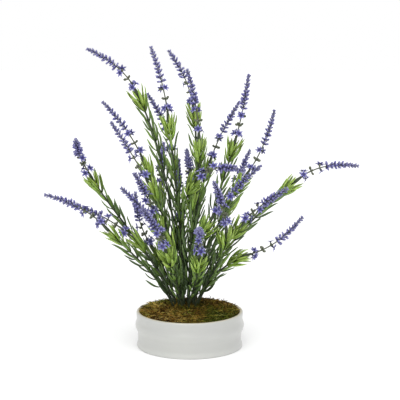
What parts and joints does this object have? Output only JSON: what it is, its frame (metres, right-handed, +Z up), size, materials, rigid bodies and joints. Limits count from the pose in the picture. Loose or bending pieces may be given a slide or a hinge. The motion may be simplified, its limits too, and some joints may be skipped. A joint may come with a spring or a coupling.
{
  "type": "potted artificial lavender",
  "caption": "Artificial lavender: leafy stems fan out of a low round glazed bowl topped with moss, each ending in a slim spiked flower wand.",
  "frame": {"origin": "middle of the bowl's flat underside, on the surface that it stands on", "axes": "+Z up the bowl's axis, -Y towards the viewer, +X to the viewer's right"},
  "size_m": [0.56, 0.36, 0.549],
  "materials": {
    "glaze": "satin white glaze with a warm line at the rim",
    "foam": "dry open foam",
    "moss_fibre": "matted brown, ochre and olive fibres",
    "leaf_green": "matte moulded leaf, dark low down and yellow-green at the tips",
    "flower_violet": "matte violet florets on a grey-green stalk"
  },
  "bodies": {
    "root": {"bowl": "glaze", "filler": "foam", "moss": "moss_fibre", "leafy_stem_01": "leaf_green", "leafy_stem_02": "leaf_green", "leafy_stem_03": "leaf_green", "leafy_stem_04": "leaf_green", "leafy_stem_05": "leaf_green", "leafy_stem_06": "leaf_green", "leafy_stem_07": "leaf_green", "leafy_stem_08": "leaf_green", "leafy_stem_09": "leaf_green", "leafy_stem_10": "leaf_green", "leafy_stem_11": "leaf_green", "leafy_stem_12": "leaf_green", "leafy_stem_13": "leaf_green", "leafy_stem_14": "leaf_green", "leafy_stem_15": "leaf_green", "leafy_stem_16": "leaf_green", "leafy_stem_17": "leaf_green", "leafy_stem_18": "leaf_green", "leafy_stem_19": "leaf_green", "leafy_stem_20": "leaf_green", "leafy_stem_21": "leaf_green", "leafy_stem_22": "leaf_green", "leafy_stem_23": "leaf_green", "leafy_stem_24": "leaf_green", "leafy_stem_25": "leaf_green", "leafy_stem_26": "leaf_green", "leafy_stem_27": "leaf_green", "leafy_stem_28": "leaf_green", "flower_wand_01": "flower_violet", "flower_wand_02": "flower_violet", "flower_wand_03": "flower_violet", "flower_wand_04": "flower_violet", "flower_wand_05": "flower_violet", "flower_wand_06": "flower_violet", "flower_wand_07": "flower_violet", "flower_wand_08": "flower_violet", "flower_wand_09": "flower_violet", "flower_wand_10": "flower_violet", "flower_wand_11": "flower_violet", "flower_wand_12": "flower_violet", "flower_wand_13": "flower_violet", "flower_wand_14": "flower_violet", "flower_wand_15": "flower_violet", "flower_wand_16": "flower_violet", "flower_wand_17": "flower_violet", "flower_wand_18": "flower_violet", "flower_wand_19": "flower_violet", "flower_wand_20": "flower_violet", "flower_wand_21": "flower_violet", "flower_wand_22": "flower_violet", "flower_wand_23": "flower_violet", "flower_wand_24": "flower_violet", "flower_wand_25": "flower_violet", "flower_wand_26": "flower_violet", "flower_wand_27": "flower_violet", "flower_wand_28": "flower_violet"}
  },
  "joints": []
}
